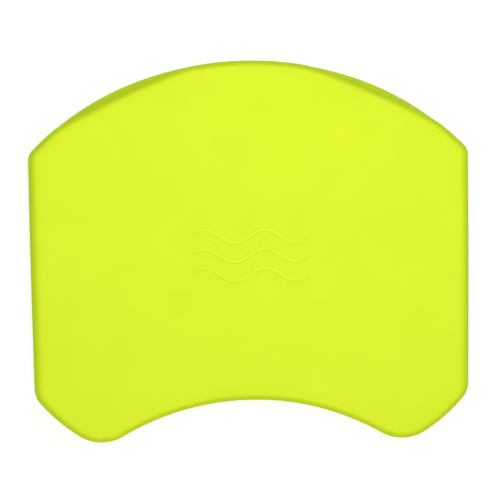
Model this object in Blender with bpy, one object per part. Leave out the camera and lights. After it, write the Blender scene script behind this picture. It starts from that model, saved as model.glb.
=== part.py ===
"""Kickboard float: a swimming board laminated from three sheets of closed-cell EVA foam.

Metres, +Z up. The board lies flat on its underside, and the origin is on that face, below the
middle of the outline. +Y points to the rounded crown that cuts the water, -Y to the waist, the
cut-out that the thighs or forearms fit in, and X runs across the board between its straight sides.
"""
import math

import bmesh
import bpy
from mathutils import Vector

# Overall size of the foam block
BOARD_WIDTH = 0.290
BOARD_LENGTH = 0.250
BOARD_THICKNESS = 0.038

# Lamination: three equal sheets, with an adhesive film in each of the two joints
FILM_THICKNESS = 0.0003
CONTACT_GAP = 0.0003

# Outline, seen from above: large arcs, and the fillets where they meet. The crown turns a little
# tighter beyond an angle from its middle, and the sides close in a little towards the rear.
CROWN_RADIUS = 0.2154
CROWN_ANGLE = math.radians(19.1)
FLANK_RADIUS = 0.1849
SIDE_RADIUS = 10.7
WIDEST_Y = 0.1195
HIP_RADIUS = 0.1124
HIP_CENTER_Y = -0.0256
WAIST_RADIUS = 0.1696
WAIST_DEPTH = 0.0266
SHOULDER_FILLET = 0.0091
HIP_FILLET = 0.0157
FOOT_FILLET = 0.0279

# Edge: half an ellipse above and below a straight band, and softer along the sides
EDGE_INSET = 0.0052
SIDE_INSET = 0.0074
EDGE_HEIGHT = 0.013

# Grips: two shallow facets that cut the edge of the crown back, one for each hand, from the top of
# the lower rounding up, with a tighter rounding from the head of the facet to the face
GRIP_ANGLE = math.radians(24.6)
GRIP_HALF_ANGLE = math.radians(15.2)
GRIP_DEPTH = 0.0046
GRIP_HEAD_Z = 0.031

# Raised motif: three tapered waves, each the top of a bar that is sunk in the upper face
WAVE_COUNT = 3
WAVE_MIDDLE_Y = -0.0025
WAVE_SPACING = 0.0125
WAVE_SPAN = 0.080
WAVE_LENGTH = 0.040
WAVE_SWING = 0.0042
RIDGE_HEIGHT = 0.0006
RIDGE_WIDTH = 0.0036
RIDGE_TAPER = 0.012
RIDGE_END_DEPTH = 0.0002

# Facets along each arc of the half outline, from the crown to the waist, and on the edge and motif
CROWN_STEPS = 10
FLANK_STEPS = 12
SHOULDER_STEPS = 6
SIDE_STEPS = 3
HIP_FILLET_STEPS = 6
HIP_STEPS = 4
FOOT_STEPS = 8
WAIST_STEPS = 11
EDGE_STEPS = 8
WAVE_STEPS = 40
RIDGE_SIDES = 14

LIME = (0.76, 0.92, 0.032, 1.0)
FILM_LIME = (0.62, 0.78, 0.10, 1.0)
ROUGHNESS = 0.6
SHARP_ANGLE = math.radians(30.0)


def clear_scene():
    for existing in list(bpy.data.objects):
        bpy.data.objects.remove(existing, do_unlink=True)


def make_material(name, color):
    material = bpy.data.materials.new(name)
    material.use_nodes = True
    shader = material.node_tree.nodes["Principled BSDF"]
    shader.inputs["Base Color"].default_value = color
    shader.inputs["Roughness"].default_value = ROUGHNESS
    shader.inputs["Metallic"].default_value = 0.0
    material.diffuse_color = color
    return material


def leg_length(hypotenuse, other_leg):
    return math.sqrt(hypotenuse ** 2 - other_leg ** 2)


def circle_crossing(center_a, radius_a, center_b, radius_b):
    """Where two circles cross, to the right of the way from centre a to centre b."""
    between = center_b - center_a
    distance = between.length
    along = (radius_a ** 2 - radius_b ** 2 + distance ** 2) / (2.0 * distance)
    rightward = Vector((between.y, -between.x)) / distance
    return center_a + between * (along / distance) + rightward * leg_length(radius_a, along)


def direction_angle(start, end):
    return math.atan2(end.y - start.y, end.x - start.x)


def half_outline_arcs():
    """Arcs of the +X half, clockwise from the crown: centre, radius, first and last angle, steps.

    The foot touches the board's rear line and the waist, and the hip curve runs into it. The
    shoulder and hip fillets lie one fillet radius inside the arcs they join. The waist is hollow,
    which its negative radius says.
    """
    crown = Vector((0.0, BOARD_LENGTH / 2 - CROWN_RADIUS))
    toward_flank = Vector((math.sin(CROWN_ANGLE), math.cos(CROWN_ANGLE)))
    flank = crown + (CROWN_RADIUS - FLANK_RADIUS) * toward_flank
    side = Vector((BOARD_WIDTH / 2 - SIDE_RADIUS, WIDEST_Y))
    waist = Vector((0.0, -BOARD_LENGTH / 2 + WAIST_DEPTH - WAIST_RADIUS))
    foot_y = -BOARD_LENGTH / 2 + FOOT_FILLET
    foot = Vector((leg_length(WAIST_RADIUS + FOOT_FILLET, foot_y - waist.y), foot_y))
    hip_x = foot.x - leg_length(HIP_RADIUS - FOOT_FILLET, HIP_CENTER_Y - foot_y)
    hip = Vector((hip_x, HIP_CENTER_Y))
    shoulder = circle_crossing(flank, FLANK_RADIUS - SHOULDER_FILLET,
                               side, SIDE_RADIUS - SHOULDER_FILLET)
    hip_fillet = circle_crossing(side, SIDE_RADIUS - HIP_FILLET, hip, HIP_RADIUS - HIP_FILLET)
    joints = (
        math.pi / 2,
        math.pi / 2 - CROWN_ANGLE,
        direction_angle(flank, shoulder),
        direction_angle(side, shoulder),
        direction_angle(side, hip_fillet),
        direction_angle(hip, hip_fillet),
        direction_angle(hip, foot),
        direction_angle(foot, waist),
    )
    return (
        (crown, CROWN_RADIUS, joints[0], joints[1], CROWN_STEPS),
        (flank, FLANK_RADIUS, joints[1], joints[2], FLANK_STEPS),
        (shoulder, SHOULDER_FILLET, joints[2], joints[3], SHOULDER_STEPS),
        (side, SIDE_RADIUS, joints[3], joints[4], SIDE_STEPS),
        (hip_fillet, HIP_FILLET, joints[4], joints[5], HIP_FILLET_STEPS),
        (hip, HIP_RADIUS, joints[5], joints[6], HIP_STEPS),
        (foot, FOOT_FILLET, joints[6], joints[7], FOOT_STEPS),
        (waist, -WAIST_RADIUS, joints[7] + math.pi, math.pi / 2, WAIST_STEPS),
    )


def clamp(value):
    return min(max(value, 0.0), 1.0)


def grip_share(angle):
    """How fully a grip facet is formed where the crown faces in a direction, from 0 to 1."""
    across = (abs(angle - math.pi / 2) - GRIP_ANGLE) / GRIP_HALF_ANGLE
    return clamp(1.0 - across ** 2) ** 1.5


def edge_inset(z, angle, grip=0.0):
    """How far the edge lies inside the full outline, at a height and a direction it faces in."""
    depth = EDGE_INSET + (SIDE_INSET - EDGE_INSET) * math.cos(angle) ** 4
    height = EDGE_HEIGHT
    if z > BOARD_THICKNESS / 2:
        height += (BOARD_THICKNESS - GRIP_HEAD_Z - EDGE_HEIGHT) * grip
    rise = clamp((abs(z - BOARD_THICKNESS / 2) - BOARD_THICKNESS / 2) / height + 1.0)
    facet = clamp((z - EDGE_HEIGHT) / (GRIP_HEAD_Z - EDGE_HEIGHT))
    return depth * (1.0 - math.sqrt(1.0 - rise ** 2)) + GRIP_DEPTH * grip * facet


def section(z):
    """The board's closed outline at a height, clockwise from the middle of the crown."""
    right = []
    for number, (center, radius, first, last, steps) in enumerate(half_outline_arcs()):
        on_crown = number < 2
        for step in range(steps):
            angle = first + (last - first) * step / steps
            inset = edge_inset(z, angle, grip_share(angle) if on_crown else 0.0)
            reach = abs(radius) - math.copysign(inset, radius)
            right.append((center.x + reach * math.cos(angle), center.y + reach * math.sin(angle)))
    waist_y = -BOARD_LENGTH / 2 + WAIST_DEPTH + edge_inset(z, math.pi / 2)
    left = [(-x, y) for x, y in reversed(right[1:])]
    return [Vector((x, y, z)) for x, y in right + [(0.0, waist_y)] + left]


def ring_heights(low, high):
    """Heights between two levels where the edge's shape needs a ring of points."""
    band_top = BOARD_THICKNESS - EDGE_HEIGHT
    rises = [band_top + EDGE_HEIGHT * math.sin(math.pi / 2 * step / EDGE_STEPS)
             for step in range(EDGE_STEPS)]
    levels = rises + [BOARD_THICKNESS - z for z in rises] + [GRIP_HEAD_Z]
    spacing = 2.0 * CONTACT_GAP
    inside = [z for z in sorted(levels) if low + spacing < z < high - spacing]
    return [low] + inside + [high]


def loft(name, rings, material):
    """A closed body through rings of equal length, each clockwise as seen from the last ring."""
    bm = bmesh.new()
    loops = [[bm.verts.new(point) for point in ring] for ring in rings]
    bm.faces.new(loops[0])
    bm.faces.new(reversed(loops[-1]))
    for lower, upper in zip(loops, loops[1:]):
        for i in range(len(lower)):
            bm.faces.new((lower[i], lower[i - 1], upper[i - 1], upper[i]))
    mesh = bpy.data.meshes.new(name)
    bm.to_mesh(mesh)
    bm.free()
    mesh.materials.append(material)
    mesh.shade_smooth()
    mesh.set_sharp_from_angle(angle=SHARP_ANGLE)
    body = bpy.data.objects.new(name, mesh)
    bpy.context.collection.objects.link(body)
    return body


def layer(name, low, high, material):
    """One sheet or film of the board, between two heights."""
    return loft(name, [section(z) for z in ring_heights(low, high)], material)


def wave_bar(number, material):
    """A wavy bar whose top stands out of the upper face, and whose thin ends stay under it."""
    full_radius = (RIDGE_WIDTH ** 2 / 4 + RIDGE_HEIGHT ** 2) / (2.0 * RIDGE_HEIGHT)
    center_z = BOARD_THICKNESS + RIDGE_HEIGHT - full_radius
    end_radius = BOARD_THICKNESS - RIDGE_END_DEPTH - center_z
    middle_y = WAVE_MIDDLE_Y + (number - (WAVE_COUNT - 1) / 2) * WAVE_SPACING
    wave_number = 2.0 * math.pi / WAVE_LENGTH
    up = Vector((0.0, 0.0, 1.0))
    rings = []
    for step in range(WAVE_STEPS + 1):
        x = WAVE_SPAN * (step / WAVE_STEPS - 0.5)
        center = Vector((x, middle_y + WAVE_SWING * math.sin(wave_number * x), center_z))
        heading = math.atan(WAVE_SWING * wave_number * math.cos(wave_number * x))
        sideways = Vector((-math.sin(heading), math.cos(heading), 0.0))
        fullness = math.sin(math.pi / 2 * min((WAVE_SPAN / 2 - abs(x)) / RIDGE_TAPER, 1.0))
        radius = end_radius + (full_radius - end_radius) * fullness
        turns = [2.0 * math.pi * (side + 0.5) / RIDGE_SIDES for side in range(RIDGE_SIDES)]
        rings.append([center + radius * (sideways * math.cos(turn) - up * math.sin(turn))
                      for turn in turns])
    bar = loft(f"wave_bar_{number + 1}", rings, material)
    bar.hide_render = True
    bar.display_type = "WIRE"
    return bar


def add_waves(sheet):
    """Unites the raised wave motif with the sheet under it."""
    material = sheet.data.materials[0]
    for number in range(WAVE_COUNT):
        union = sheet.modifiers.new(f"raised_wave_{number + 1}", "BOOLEAN")
        union.operation = "UNION"
        union.solver = "EXACT"
        union.object = wave_bar(number, material)


def build_board():
    """The five layers, from the underside up, and the waves on the last one."""
    sheet_thickness = (BOARD_THICKNESS - 2 * FILM_THICKNESS - 4 * CONTACT_GAP) / 3
    layers = (
        ("bottom_sheet", sheet_thickness, LIME),
        ("lower_bond_film", FILM_THICKNESS, FILM_LIME),
        ("core_sheet", sheet_thickness, LIME),
        ("upper_bond_film", FILM_THICKNESS, FILM_LIME),
        ("top_sheet", sheet_thickness, LIME),
    )
    low = 0.0
    for name, thickness, color in layers:
        sheet = layer(name, low, low + thickness, make_material(name, color))
        low += thickness + CONTACT_GAP
    add_waves(sheet)


clear_scene()
build_board()
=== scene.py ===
"""Looks of the kickboard float: a laminated board of lime EVA foam on a white studio floor."""

import math

import bmesh
import bpy
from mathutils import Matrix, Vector, noise
from mathutils.geometry import delaunay_2d_cdt


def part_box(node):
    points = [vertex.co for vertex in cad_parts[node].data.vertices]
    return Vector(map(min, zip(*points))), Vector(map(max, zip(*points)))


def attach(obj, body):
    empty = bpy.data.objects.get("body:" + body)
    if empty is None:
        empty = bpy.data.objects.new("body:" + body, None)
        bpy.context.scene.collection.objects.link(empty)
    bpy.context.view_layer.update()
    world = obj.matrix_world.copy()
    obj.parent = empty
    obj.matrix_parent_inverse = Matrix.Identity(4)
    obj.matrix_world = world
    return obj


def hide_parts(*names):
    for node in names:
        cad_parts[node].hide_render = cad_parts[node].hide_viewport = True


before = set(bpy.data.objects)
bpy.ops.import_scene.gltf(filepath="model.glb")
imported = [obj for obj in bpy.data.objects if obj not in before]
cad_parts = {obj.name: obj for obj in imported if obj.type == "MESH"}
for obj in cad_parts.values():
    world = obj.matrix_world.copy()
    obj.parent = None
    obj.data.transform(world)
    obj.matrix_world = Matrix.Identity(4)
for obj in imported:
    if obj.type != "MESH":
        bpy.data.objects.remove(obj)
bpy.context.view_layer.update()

# Outline and edge, as the CAD solids have them, in metres
BOARD_WIDTH = 0.290
BOARD_LENGTH = 0.250
CROWN_RADIUS = 0.2154
CROWN_ANGLE = math.radians(19.1)
FLANK_RADIUS = 0.1849
SIDE_RADIUS = 10.7
WIDEST_Y = 0.1195
HIP_RADIUS = 0.1124
HIP_CENTER_Y = -0.0256
WAIST_RADIUS = 0.1696
WAIST_DEPTH = 0.0266
SHOULDER_FILLET = 0.0091
HIP_FILLET = 0.0157
FOOT_FILLET = 0.0279
EDGE_INSET = 0.0052
SIDE_INSET = 0.0074
EDGE_HEIGHT = 0.013
GRIP_ANGLE = math.radians(24.6)
GRIP_HALF_ANGLE = math.radians(15.2)
GRIP_DEPTH = 0.0046
GRIP_HEAD_Z = 0.031

# Raised waves on the upper face. The two flanks are shares of a ridge's half width, and the end
# width is the share of its width that is left at its ends.
WAVE_COUNT = 3
WAVE_MIDDLE_Y = -0.0025
WAVE_SPACING = 0.0125
WAVE_SPAN = 0.080
WAVE_LENGTH = 0.040
WAVE_SWING = 0.0042
RIDGE_HEIGHT = 0.0006
RIDGE_WIDTH = 0.0034
RIDGE_TAPER = 0.012
RIDGE_REAR_FLANK = 0.26
RIDGE_FRONT_FLANK = 0.80
RIDGE_END_WIDTH = 0.2

FACE_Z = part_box("top_sheet")[1].z - RIDGE_HEIGHT

# Fine detail that the CAD solids leave out
SEAM_ROUNDING = 0.00030
BOND_RECESS = 0.00016
BOND_CROWN = 0.00005
UNEVENNESS = 0.00010
UNEVENNESS_LENGTH = 0.045
UNEVENNESS_SEED = 7

# Mesh density. The columns run across a ridge from its rear foot (-1) to its front foot (1), and
# are dense on the steep rear flank.
EDGE_STEPS = 22
SEAM_STEPS = 4
WALL_STEP = 0.0015
CLOSEST_RINGS = 0.00005
OUTLINE_STEP = 0.0012
FEWEST_ARC_STEPS = 10
FACE_STEP = 0.005
RIM_CLEARANCE = 0.6 * FACE_STEP
RIDGE_STEP = 0.0006
RIDGE_COLUMNS = (-1.0, -0.95, -0.90, -0.85, -0.80, -0.74, -0.55, -0.30, -0.05, 0.20,
                 0.34, 0.48, 0.62, 0.76, 0.88, 1.0)
SHARP_ANGLE = math.radians(40.0)

# Settings of the triangulation: keep what lies within the rim, and merge points that coincide
WITHIN_RIM = 1
MERGE_DISTANCE = 1e-7


# ---------------------------------------------------------------- outline

def leg_length(hypotenuse, other_leg):
    return math.sqrt(hypotenuse ** 2 - other_leg ** 2)


def circle_crossing(center_a, radius_a, center_b, radius_b):
    """Where two circles cross, to the right of the way from centre a to centre b."""
    between = center_b - center_a
    distance = between.length
    along = (radius_a ** 2 - radius_b ** 2 + distance ** 2) / (2.0 * distance)
    rightward = Vector((between.y, -between.x)) / distance
    return center_a + between * (along / distance) + rightward * leg_length(radius_a, along)


def direction_angle(start, end):
    return math.atan2(end.y - start.y, end.x - start.x)


def half_outline_arcs():
    """Arcs of the +X half, clockwise from the crown: centre, radius, first and last angle.

    The waist is hollow, which its negative radius says.
    """
    crown = Vector((0.0, BOARD_LENGTH / 2 - CROWN_RADIUS))
    toward_flank = Vector((math.sin(CROWN_ANGLE), math.cos(CROWN_ANGLE)))
    flank = crown + (CROWN_RADIUS - FLANK_RADIUS) * toward_flank
    side = Vector((BOARD_WIDTH / 2 - SIDE_RADIUS, WIDEST_Y))
    waist = Vector((0.0, -BOARD_LENGTH / 2 + WAIST_DEPTH - WAIST_RADIUS))
    foot_y = -BOARD_LENGTH / 2 + FOOT_FILLET
    foot = Vector((leg_length(WAIST_RADIUS + FOOT_FILLET, foot_y - waist.y), foot_y))
    hip_x = foot.x - leg_length(HIP_RADIUS - FOOT_FILLET, HIP_CENTER_Y - foot_y)
    hip = Vector((hip_x, HIP_CENTER_Y))
    shoulder = circle_crossing(flank, FLANK_RADIUS - SHOULDER_FILLET,
                               side, SIDE_RADIUS - SHOULDER_FILLET)
    hip_fillet = circle_crossing(side, SIDE_RADIUS - HIP_FILLET, hip, HIP_RADIUS - HIP_FILLET)
    joints = (
        math.pi / 2,
        math.pi / 2 - CROWN_ANGLE,
        direction_angle(flank, shoulder),
        direction_angle(side, shoulder),
        direction_angle(side, hip_fillet),
        direction_angle(hip, hip_fillet),
        direction_angle(hip, foot),
        direction_angle(foot, waist),
    )
    return (
        (crown, CROWN_RADIUS, joints[0], joints[1]),
        (flank, FLANK_RADIUS, joints[1], joints[2]),
        (shoulder, SHOULDER_FILLET, joints[2], joints[3]),
        (side, SIDE_RADIUS, joints[3], joints[4]),
        (hip_fillet, HIP_FILLET, joints[4], joints[5]),
        (hip, HIP_RADIUS, joints[5], joints[6]),
        (foot, FOOT_FILLET, joints[6], joints[7]),
        (waist, -WAIST_RADIUS, joints[7] + math.pi, math.pi / 2),
    )


ARCS = half_outline_arcs()


def clamp(value):
    return min(max(value, 0.0), 1.0)


def grip_share(angle):
    """How fully a grip facet is formed where the crown faces in a direction, from 0 to 1."""
    across = (abs(angle - math.pi / 2) - GRIP_ANGLE) / GRIP_HALF_ANGLE
    return clamp(1.0 - across ** 2) ** 1.5


def edge_inset(z, angle, grip=0.0):
    """How far the edge lies inside the full outline, at a height and a direction it faces in."""
    depth = EDGE_INSET + (SIDE_INSET - EDGE_INSET) * math.cos(angle) ** 4
    rounding = EDGE_HEIGHT
    if z > FACE_Z / 2:
        rounding += (FACE_Z - GRIP_HEAD_Z - EDGE_HEIGHT) * grip
    rise = clamp((abs(z - FACE_Z / 2) - FACE_Z / 2) / rounding + 1.0)
    facet = clamp((z - EDGE_HEIGHT) / (GRIP_HEAD_Z - EDGE_HEIGHT))
    return depth * (1.0 - math.sqrt(1.0 - rise ** 2)) + GRIP_DEPTH * grip * facet


def section(z, recess=0.0):
    """The board's closed outline at a height, clockwise from the middle of the crown.

    A recess draws it in all around.
    """
    right = []
    for number, (center, radius, first, last) in enumerate(ARCS):
        on_crown = number < 2
        length = abs(radius * (last - first))
        steps = max(FEWEST_ARC_STEPS, round(length / OUTLINE_STEP))
        for step in range(steps):
            angle = first + (last - first) * step / steps
            inset = recess + edge_inset(z, angle, grip_share(angle) if on_crown else 0.0)
            reach = abs(radius) - math.copysign(inset, radius)
            right.append((center.x + reach * math.cos(angle), center.y + reach * math.sin(angle)))
    waist_y = -BOARD_LENGTH / 2 + WAIST_DEPTH + recess + edge_inset(z, math.pi / 2)
    left = [(-x, y) for x, y in reversed(right[1:])]
    return [Vector((x, y, z)) for x, y in right + [(0.0, waist_y)] + left]


# ---------------------------------------------------------------- raised waves

def wave_line(number, x):
    """Centre of a wave at a place across the board, and the direction across it, to its front."""
    wave_number = 2.0 * math.pi / WAVE_LENGTH
    middle_y = WAVE_MIDDLE_Y + (number - (WAVE_COUNT - 1) / 2) * WAVE_SPACING
    center = Vector((x, middle_y + WAVE_SWING * math.sin(wave_number * x)))
    heading = math.atan(WAVE_SWING * wave_number * math.cos(wave_number * x))
    return center, Vector((-math.sin(heading), math.cos(heading)))


def ridge_profile(across):
    """Height of a ridge across its width, from 0 at its feet to 1 on top. The rear is steeper."""
    flank_width = RIDGE_REAR_FLANK if across < 0.0 else RIDGE_FRONT_FLANK
    flank = min((1.0 - abs(across)) / flank_width, 1.0)
    return flank * flank * (3.0 - 2.0 * flank)


def ridge_rows(number):
    """Points over one wave, in rows across it, as (x, y, height)."""
    steps = round(WAVE_SPAN / RIDGE_STEP)
    rows = []
    for step in range(steps + 1):
        x = WAVE_SPAN * (step / steps - 0.5)
        center, frontward = wave_line(number, x)
        fullness = math.sin(math.pi / 2 * min((WAVE_SPAN / 2 - abs(x)) / RIDGE_TAPER, 1.0))
        half_width = RIDGE_WIDTH / 2 * (RIDGE_END_WIDTH + (1.0 - RIDGE_END_WIDTH) * fullness)
        height = RIDGE_HEIGHT * math.sqrt(fullness)
        row = []
        for across in RIDGE_COLUMNS:
            place = center + frontward * (across * half_width)
            row.append((place.x, place.y, height * ridge_profile(across)))
        rows.append(row)
    return rows


def wave_points_and_edges(first_number):
    """Points over all the waves, numbered on from the first, and the edges that run along them."""
    points = []
    edges = []
    width = len(RIDGE_COLUMNS)
    for wave in range(WAVE_COUNT):
        rows = ridge_rows(wave)
        start = first_number + len(points)
        for row in rows:
            points.extend(row)
        for step in range(len(rows) - 1):
            corner = start + step * width
            edges.extend((corner + column, corner + width + column) for column in range(width))
    return points, edges


def near_a_wave(x, y):
    if abs(x) > WAVE_SPAN / 2 + FACE_STEP / 2:
        return False
    return any(abs(y - wave_line(number, x)[0].y) < RIDGE_WIDTH for number in range(WAVE_COUNT))


# ---------------------------------------------------------------- meshes

noise.seed_set(UNEVENNESS_SEED)


def unevenness(point):
    """A small, slow wander of a foam surface, which leaves the board's underside on the floor."""
    wander = noise.noise_vector(point / UNEVENNESS_LENGTH) * UNEVENNESS
    wander.z *= min(point.z / FACE_Z, 1.0)
    return wander


def add_object(name, bm):
    """Turns the mesh that was built into a smooth object of the scene."""
    mesh = bpy.data.meshes.new(name)
    bm.to_mesh(mesh)
    bm.free()
    mesh.shade_smooth()
    piece = bpy.data.objects.new(name, mesh)
    bpy.context.collection.objects.link(piece)
    return piece


def add_piece(name, bm):
    """Turns the mesh that was built into a piece of the board, with its unevenness."""
    for vert in bm.verts:
        vert.co += unevenness(vert.co)
    piece = add_object(name, bm)
    piece.data.set_sharp_from_angle(angle=SHARP_ANGLE)
    return piece


def join_loops(bm, loops):
    """Walls between successive loops of equal length, each clockwise as seen from above."""
    for lower, upper in zip(loops, loops[1:]):
        for i in range(len(lower)):
            bm.faces.new((lower[i], lower[i - 1], upper[i - 1], upper[i]))


def loft(bm, rings):
    """Walls through rings of points, from the lowest up. Gives the loops."""
    loops = [[bm.verts.new(point) for point in ring] for ring in rings]
    join_loops(bm, loops)
    return loops


def rim_heights(low, high):
    """Heights of a sheet's rings: fine on the rounded edge, coarser on the straight band."""
    band_top = FACE_Z - EDGE_HEIGHT
    rises = [band_top + EDGE_HEIGHT * math.sin(math.pi / 2 * step / EDGE_STEPS)
             for step in range(EDGE_STEPS + 1)]
    walls = [EDGE_HEIGHT + WALL_STEP * step
             for step in range(1, 1 + round((GRIP_HEAD_Z - EDGE_HEIGHT) / WALL_STEP))]
    heights = []
    for z in sorted(rises + [FACE_Z - z for z in rises] + walls):
        clear_of_seams = low + SEAM_ROUNDING < z < high - SEAM_ROUNDING
        if clear_of_seams and (not heights or z - heights[-1] > CLOSEST_RINGS):
            heights.append(z)
    return heights


def seam_rings(seam_z, upward):
    """The small rounding where a sheet meets a bond line, from the seam outwards."""
    rings = []
    for step in range(SEAM_STEPS + 1):
        turn = math.pi / 2 * step / SEAM_STEPS
        rise = SEAM_ROUNDING * (1.0 - math.cos(turn))
        z = seam_z + (rise if upward else -rise)
        rings.append(section(z, recess=SEAM_ROUNDING * (1.0 - math.sin(turn))))
    return rings


def inside(spot, outline):
    """Whether a spot lies within a closed outline, by counting the edges to its right."""
    crossings = 0
    for a, b in zip(outline, outline[1:] + outline[:1]):
        if (a.y > spot.y) != (b.y > spot.y):
            if spot.x < a.x + (spot.y - a.y) * (b.x - a.x) / (b.y - a.y):
                crossings += 1
    return crossings % 2 == 1


def face_grid():
    """Spots spread over a face of the board, clear of the upper face's rim, the tightest one."""
    outline = [Vector((point.x, point.y)) for point in section(FACE_Z)]
    spots = []
    for i in range(int(BOARD_WIDTH / FACE_STEP) + 1):
        for j in range(int(BOARD_LENGTH / FACE_STEP) + 1):
            spot = Vector((-BOARD_WIDTH / 2 + FACE_STEP * (i + 0.5 * (j % 2)),
                           -BOARD_LENGTH / 2 + FACE_STEP * j))
            if not inside(spot, outline):
                continue
            if min((spot - rim).length_squared for rim in outline) > RIM_CLEARANCE ** 2:
                spots.append(spot)
    return spots


FACE_GRID = face_grid()


def cap_face(bm, rim_loop, upward, waves=False):
    """Closes a rim with a triangulated face, which carries the raised waves if asked."""
    face_z = rim_loop[0].co.z
    outline = [Vector((vert.co.x, vert.co.y)) for vert in rim_loop]
    points = [(x, y, 0.0) for x, y in FACE_GRID if not (waves and near_a_wave(x, y))]
    edges = []
    if waves:
        wave_points, edges = wave_points_and_edges(len(outline) + len(points))
        points += wave_points
    places = outline + [Vector((x, y)) for x, y, height in points]
    rim = list(range(len(outline)))
    flat, _, triangles, sources, _, _ = delaunay_2d_cdt(places, edges, [rim], WITHIN_RIM,
                                                        MERGE_DISTANCE)
    verts = []
    for spot, numbers in zip(flat, sources):
        number = min(numbers)
        if number < len(outline):
            verts.append(rim_loop[number])
        else:
            height = points[number - len(outline)][2]
            verts.append(bm.verts.new((spot.x, spot.y, face_z + (height if upward else -height))))
    for triangle in triangles:
        corners = [verts[i] for i in triangle]
        a, b, c = (corner.co for corner in corners)
        faces_up = (b - a).cross(c - a).z > 0.0
        bm.faces.new(corners if faces_up == upward else reversed(corners))


def make_sheet(name, low, high):
    """A foam sheet between two heights: a rounded edge at an outer face, a tight one at a seam."""
    bm = bmesh.new()
    rings = [section(z) for z in rim_heights(low, high)]
    at_bottom = low < SEAM_ROUNDING
    at_top = high > FACE_Z - SEAM_ROUNDING
    if at_bottom:
        rings.insert(0, section(0.0))
    else:
        rings = seam_rings(low, upward=True) + rings
    if at_top:
        rings.append(section(FACE_Z))
    else:
        rings += reversed(seam_rings(high, upward=False))
    loops = loft(bm, rings)
    cap_face(bm, loops[0], upward=False)
    cap_face(bm, loops[-1], upward=True, waves=at_top)
    return add_piece(name, bm)


def make_bond_line(name, low, high):
    """An adhesive film, whose slightly crowned rim lies a little behind the foam."""
    bm = bmesh.new()
    rings = [
        section(low, BOND_RECESS + BOND_CROWN),
        section((low + high) / 2, BOND_RECESS),
        section(high, BOND_RECESS + BOND_CROWN),
    ]
    loops = loft(bm, rings)
    cap_face(bm, loops[0], upward=False)
    cap_face(bm, loops[-1], upward=True)
    return add_piece(name, bm)


# ---------------------------------------------------------------- materials

# Foam, in linear colour: its mottle runs from deep to pale, and tints multiply it: on the walls
# and the steep flanks of the waves a deeper tone of the cut foam and painted shade, at the bottoms
# of the opened cells on the walls painted shade, and on the crests of the waves a painted
# highlight
FOAM_DEEP = (0.646, 0.801, 0.0250)
FOAM_PALE = (0.704, 0.855, 0.0312)
WALL_TONE_AND_SHADE = (0.870, 0.966, 0.18)
OPENED_CELL_SHADE = (0.90, 0.92, 0.70)
CREST_HIGHLIGHT = (1.045, 1.038, 1.20)
FOAM_SPECULAR = 0.025
FOAM_ROUGHNESS = (0.62, 0.80)

# How flat a surface lies, by its normal, where it begins to count as a wall and where it is one
FACE_FLATNESS = 1.0
WALL_FLATNESS = 0.15

# Where the painted highlight on a raised wave's crest begins and where it is full, as shares of
# the ridge's height
CREST_START = 0.4
CREST_FULL = 0.9

# Patterns in the foam, in cells or blotches per metre
MOTTLE_SCALE = 38.0
OPENED_CELL_SCALE = 760.0
CLOSED_CELL_SCALE = 2200.0
GRAIN_SCALE = 900.0

# Where an opened cell's bottom ends and its rim begins, as shares of the spacing of the cells
OPENED_CELL_BOTTOM = 0.08
OPENED_CELL_RIM = 0.50

# The foam's relief: how much the cells add to the grain, its strength and its height in metres
CLOSED_CELL_RELIEF = 0.6
OPENED_CELL_RELIEF = -3.0
RELIEF_STRENGTH = 0.35
RELIEF_HEIGHT = 0.00006

# Cured contact adhesive
BOND_DEEP = (0.34, 0.45, 0.010)
BOND_PALE = (0.44, 0.56, 0.016)
BOND_SPECULAR = 0.15
BOND_ROUGHNESS = (0.38, 0.55)
STREAK_SCALE = 160.0


def new_material(name, specular):
    """A material, its nodes, its links and its shader."""
    material = bpy.data.materials.new(name)
    material.use_nodes = True
    nodes = material.node_tree.nodes
    shader = nodes["Principled BSDF"]
    shader.inputs["Specular IOR Level"].default_value = specular
    return material, nodes, material.node_tree.links, shader


def add_node(nodes, kind, **values):
    """A node with its named properties and inputs set. A _ in an input's name is a space."""
    node = nodes.new(kind)
    for key, value in values.items():
        if hasattr(node, key):
            setattr(node, key, value)
        else:
            node.inputs[key.replace("_", " ")].default_value = value
    return node


def mix_colors(nodes, links, factor, first, second):
    """A colour between two, as far from the first as a factor says."""
    mix = add_node(nodes, "ShaderNodeMix", data_type="RGBA", A=(*first, 1.0), B=(*second, 1.0))
    links.new(factor, mix.inputs["Factor"])
    return mix.outputs["Result"]


def multiply_color(nodes, links, color, factor, tint):
    """A colour multiplied by a tint, as far as a factor says."""
    mix = add_node(nodes, "ShaderNodeMix", data_type="RGBA", blend_type="MULTIPLY",
                   B=(*tint, 1.0))
    links.new(factor, mix.inputs["Factor"])
    links.new(color, mix.inputs["A"])
    return mix.outputs["Result"]


def multiply_add(nodes, links, value, factor, addend):
    """A value times a fixed factor, plus an addend."""
    math_node = add_node(nodes, "ShaderNodeMath", operation="MULTIPLY_ADD")
    math_node.inputs[1].default_value = factor
    links.new(value, math_node.inputs[0])
    links.new(addend, math_node.inputs[2])
    return math_node.outputs["Value"]


def vary_roughness(nodes, links, shader, factor, limits):
    """Roughness between two limits, as a factor says."""
    gloss = add_node(nodes, "ShaderNodeMapRange", To_Min=limits[0], To_Max=limits[1])
    links.new(factor, gloss.inputs["Value"])
    links.new(gloss.outputs["Result"], shader.inputs["Roughness"])


def steepness(nodes, links):
    """How much of a wall a surface is: 0 where it faces straight up or down, 1 on the walls."""
    geometry = nodes.new("ShaderNodeNewGeometry")
    normal = nodes.new("ShaderNodeSeparateXYZ")
    links.new(geometry.outputs["Normal"], normal.inputs["Vector"])
    flatness = add_node(nodes, "ShaderNodeMath", operation="ABSOLUTE")
    links.new(normal.outputs["Z"], flatness.inputs[0])
    steep = add_node(nodes, "ShaderNodeMapRange", interpolation_type="SMOOTHSTEP",
                     From_Min=FACE_FLATNESS, From_Max=WALL_FLATNESS)
    links.new(flatness.outputs["Value"], steep.inputs["Value"])
    return steep.outputs["Result"]


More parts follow.
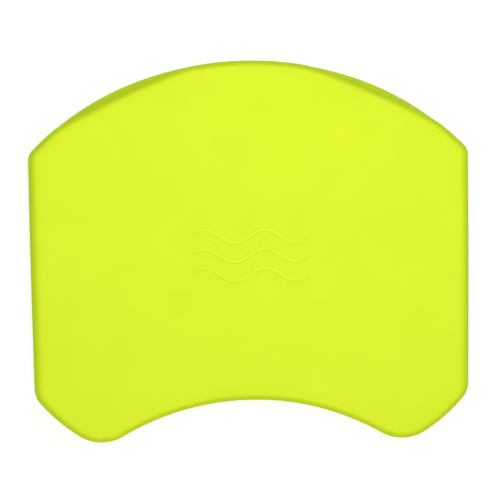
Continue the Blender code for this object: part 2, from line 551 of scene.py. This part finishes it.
def opened_cells(nodes, links, place, steep):
    """Cells that the cutter opened: 1 at the bottom of a pit, 0 between pits and off the walls."""
    pits = add_node(nodes, "ShaderNodeTexVoronoi", Scale=OPENED_CELL_SCALE, feature="F1")
    links.new(place, pits.inputs["Vector"])
    closed = add_node(nodes, "ShaderNodeMapRange", interpolation_type="SMOOTHSTEP",
                      From_Min=OPENED_CELL_BOTTOM, From_Max=OPENED_CELL_RIM)
    links.new(pits.outputs["Distance"], closed.inputs["Value"])
    opened = add_node(nodes, "ShaderNodeMath", operation="SUBTRACT", use_clamp=True)
    links.new(steep, opened.inputs[0])
    links.new(closed.outputs["Result"], opened.inputs[1])
    return opened.outputs["Value"]


def crest_highlight_mask(nodes, links, coordinates):
    """How far up a raised wave's crest a point is, from 0 below it to 1 on top, for its painted
    highlight.
    """
    place = nodes.new("ShaderNodeSeparateXYZ")
    links.new(coordinates, place.inputs["Vector"])
    crest_highlight = add_node(nodes, "ShaderNodeMapRange",
                     From_Min=FACE_Z + CREST_START * RIDGE_HEIGHT,
                     From_Max=FACE_Z + CREST_FULL * RIDGE_HEIGHT)
    links.new(place.outputs["Z"], crest_highlight.inputs["Value"])
    return crest_highlight.outputs["Result"]


def foam_material(name, tone, offset):
    """Lime EVA foam: fine closed cells under a matte skin, opened cells with painted shade at
    their bottoms and a deeper colour with painted shade on the cut walls, and a painted highlight
    on the crests of the raised waves. Sheets differ slightly in tone, and an offset keeps the
    pattern of one from running on into the next."""
    material, nodes, links, shader = new_material(name, FOAM_SPECULAR)
    coordinates = nodes.new("ShaderNodeTexCoord").outputs["Object"]
    placed = add_node(nodes, "ShaderNodeMapping", Location=(offset, offset, offset))
    links.new(coordinates, placed.inputs["Vector"])
    place = placed.outputs["Vector"]

    mottle = add_node(nodes, "ShaderNodeTexNoise", Scale=MOTTLE_SCALE, Detail=4.0, Roughness=0.55)
    links.new(place, mottle.inputs["Vector"])
    color = mix_colors(nodes, links, mottle.outputs["Fac"],
                       [channel * tone for channel in FOAM_DEEP],
                       [channel * tone for channel in FOAM_PALE])
    steep = steepness(nodes, links)
    opened = opened_cells(nodes, links, place, steep)
    crest_highlight = crest_highlight_mask(nodes, links, coordinates)
    # Tints: a deeper tone of the cut foam with painted shade on the walls and wave flanks, painted
    # shade at the bottoms of the opened cells, and a painted highlight on the wave crests
    for factor, tint in ((steep, WALL_TONE_AND_SHADE), (opened, OPENED_CELL_SHADE), (crest_highlight, CREST_HIGHLIGHT)):
        color = multiply_color(nodes, links, color, factor, tint)
    links.new(color, shader.inputs["Base Color"])

    cells = add_node(nodes, "ShaderNodeTexVoronoi", Scale=CLOSED_CELL_SCALE, feature="F1")
    grain = add_node(nodes, "ShaderNodeTexNoise", Scale=GRAIN_SCALE, Detail=3.0, Roughness=0.6)
    links.new(place, cells.inputs["Vector"])
    links.new(place, grain.inputs["Vector"])
    relief = multiply_add(nodes, links, cells.outputs["Distance"], CLOSED_CELL_RELIEF,
                          grain.outputs["Fac"])
    relief = multiply_add(nodes, links, opened, OPENED_CELL_RELIEF, relief)
    bump = add_node(nodes, "ShaderNodeBump", Strength=RELIEF_STRENGTH, Distance=RELIEF_HEIGHT)
    links.new(relief, bump.inputs["Height"])
    links.new(bump.outputs["Normal"], shader.inputs["Normal"])
    vary_roughness(nodes, links, shader, grain.outputs["Fac"], FOAM_ROUGHNESS)
    return material


def bond_material():
    """Cured contact adhesive at the seams: a darker, slightly glossier line than the foam."""
    material, nodes, links, shader = new_material("bond_adhesive", BOND_SPECULAR)
    coordinates = nodes.new("ShaderNodeTexCoord").outputs["Object"]
    streaks = add_node(nodes, "ShaderNodeTexNoise", Scale=STREAK_SCALE, Detail=3.0)
    links.new(coordinates, streaks.inputs["Vector"])
    color = mix_colors(nodes, links, streaks.outputs["Fac"], BOND_DEEP, BOND_PALE)
    links.new(color, shader.inputs["Base Color"])
    vary_roughness(nodes, links, shader, streaks.outputs["Fac"], BOND_ROUGHNESS)
    return material


# ---------------------------------------------------------------- board

PATTERN_OFFSET = 0.3


def add_board():
    """The three foam sheets and the two bond lines, each in place of its CAD solid.

    They are listed by name, CAD solid, lowest and highest level, and the sheets by tone as well.
    """
    bond = bond_material()
    lower_low, lower_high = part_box("lower_bond_film")
    upper_low, upper_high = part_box("upper_bond_film")
    sheets = (
        ("bottom_foam", "bottom_sheet", 0.0, lower_low.z, 0.985),
        ("core_foam", "core_sheet", lower_high.z, upper_low.z, 1.025),
        ("top_foam", "top_sheet", upper_high.z, FACE_Z, 1.0),
    )
    for number, (name, node, low, high, tone) in enumerate(sheets):
        piece = make_sheet(name, low, high)
        foam = foam_material(f"lime_eva_{name}", tone, PATTERN_OFFSET * number)
        piece.data.materials.append(foam)
        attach(piece, "root")
        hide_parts(node)
    films = (
        ("lower_bond_line", "lower_bond_film", lower_low.z, lower_high.z),
        ("upper_bond_line", "upper_bond_film", upper_low.z, upper_high.z),
    )
    for name, node, low, high in films:
        piece = make_bond_line(name, low, high)
        piece.data.materials.append(bond)
        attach(piece, "root")
        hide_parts(node)


# ---------------------------------------------------------------- studio

FLOOR_RADIUS = 9.0
SWEEP_RADIUS = 3.0
SWEEP_HEIGHT = 1.4
SWEEP_STEPS = 12
UNDERCUT_STEPS = 4
FLOOR_COLOR = (0.32, 0.32, 0.32, 1.0)
FLOOR_GLOW = 0.78
GLOW_LAYER = "glow"

WHITE = (1.0, 1.0, 1.0, 1.0)
AIR_STRENGTH = 0.16

# Square area lights: name, place, side in metres and power in watts
SOFTBOXES = (
    ("high_softbox", (0.0, -1.30, 4.0), 1.2, 75.0),
    ("low_softbox", (0.05, 0.19, 0.79), 0.30, 3.465),
)

CAMERA_DISTANCE = 3.0
NEAREST_SEEN = 0.05
FARTHEST_SEEN = 60.0
SENSOR_WIDTH_MM = 36.0
VIEW_WIDTH = 0.3300
VIEW_CENTER = (0.0004, 0.0002)
CAMERA_TURNS = (math.radians(-1.2), math.radians(-1.3), math.radians(-0.86))


def floor_material():
    """White studio floor that glows a little, so that it stays white around the board."""
    material, nodes, links, shader = new_material("studio_floor", 0.0)
    shader.inputs["Base Color"].default_value = FLOOR_COLOR
    shader.inputs["Roughness"].default_value = 1.0
    shader.inputs["Emission Color"].default_value = WHITE
    glow = add_node(nodes, "ShaderNodeAttribute", attribute_name=GLOW_LAYER)
    strength = add_node(nodes, "ShaderNodeMath", operation="MULTIPLY")
    strength.inputs[1].default_value = FLOOR_GLOW
    links.new(glow.outputs["Fac"], strength.inputs[0])
    links.new(strength.outputs["Value"], shader.inputs["Emission Strength"])
    return material


def floor_rings():
    """Rings of floor points from the board's footprint outwards, each with how much it glows.

    Nothing glows under the board, and the glow fades in from the board's outline to its footprint,
    a painted contact shadow under its rounded lower edge. The floor glows in full from the board's
    outline outwards, and far away it sweeps up into a low wall.
    """
    footprint = section(0.0)
    outline = section(FACE_Z / 2)
    rings = []
    for step in range(UNDERCUT_STEPS + 1):
        share = step / UNDERCUT_STEPS
        places = [(1.0 - share) * near + share * far for near, far in zip(footprint, outline)]
        rings.append(([Vector((place.x, place.y, 0.0)) for place in places], share ** 2))
    bearings = [Vector((point.x, point.y, 0.0)).normalized() for point in outline]
    for step in range(SWEEP_STEPS + 1):
        turn = math.pi / 2 * step / SWEEP_STEPS
        radius = FLOOR_RADIUS + SWEEP_RADIUS * math.sin(turn)
        rise = Vector((0.0, 0.0, SWEEP_HEIGHT * (1.0 - math.cos(turn))))
        rings.append(([radius * bearing + rise for bearing in bearings], 1.0))
    return rings


def add_floor():
    bm = bmesh.new()
    glow = bm.verts.layers.float.new(GLOW_LAYER)
    loops = []
    for points, share in floor_rings():
        loop = [bm.verts.new(point) for point in points]
        for vert in loop:
            vert[glow] = share
        loops.append(loop)
    bm.faces.new(reversed(loops[0]))
    join_loops(bm, loops)
    floor = add_object("studio_floor", bm)
    floor.data.materials.append(floor_material())


def add_softbox(name, location, size, power):
    """A square area light that faces the middle of the board."""
    light = bpy.data.lights.new(name, "AREA")
    light.shape = "SQUARE"
    light.size = size
    light.energy = power
    lamp = bpy.data.objects.new(name, light)
    lamp.location = location
    aim = Vector((0.0, 0.0, FACE_Z / 2)) - Vector(location)
    lamp.rotation_euler = aim.to_track_quat("-Z", "Y").to_euler()
    bpy.context.collection.objects.link(lamp)


def add_lights():
    for softbox in SOFTBOXES:
        add_softbox(*softbox)
    world = bpy.data.worlds.new("studio_air")
    world.use_nodes = True
    background = world.node_tree.nodes["Background"]
    background.inputs["Color"].default_value = WHITE
    background.inputs["Strength"].default_value = AIR_STRENGTH
    bpy.context.scene.world = world


def add_camera():
    """Nearly straight above the board, a little to the front and left, with a long lens."""
    lens = bpy.data.cameras.new("overhead_camera")
    lens.sensor_width = SENSOR_WIDTH_MM
    lens.lens = SENSOR_WIDTH_MM * CAMERA_DISTANCE / VIEW_WIDTH
    lens.clip_start = NEAREST_SEEN
    lens.clip_end = FARTHEST_SEEN
    camera = bpy.data.objects.new("overhead_camera", lens)
    camera.rotation_euler = CAMERA_TURNS
    view_axis = camera.rotation_euler.to_matrix() @ Vector((0.0, 0.0, 1.0))
    camera.location = Vector((*VIEW_CENTER, FACE_Z / 2)) + CAMERA_DISTANCE * view_axis
    bpy.context.collection.objects.link(camera)
    bpy.context.scene.camera = camera
    bpy.context.scene.view_settings.view_transform = "Standard"


add_board()
add_floor()
add_lights()
add_camera()
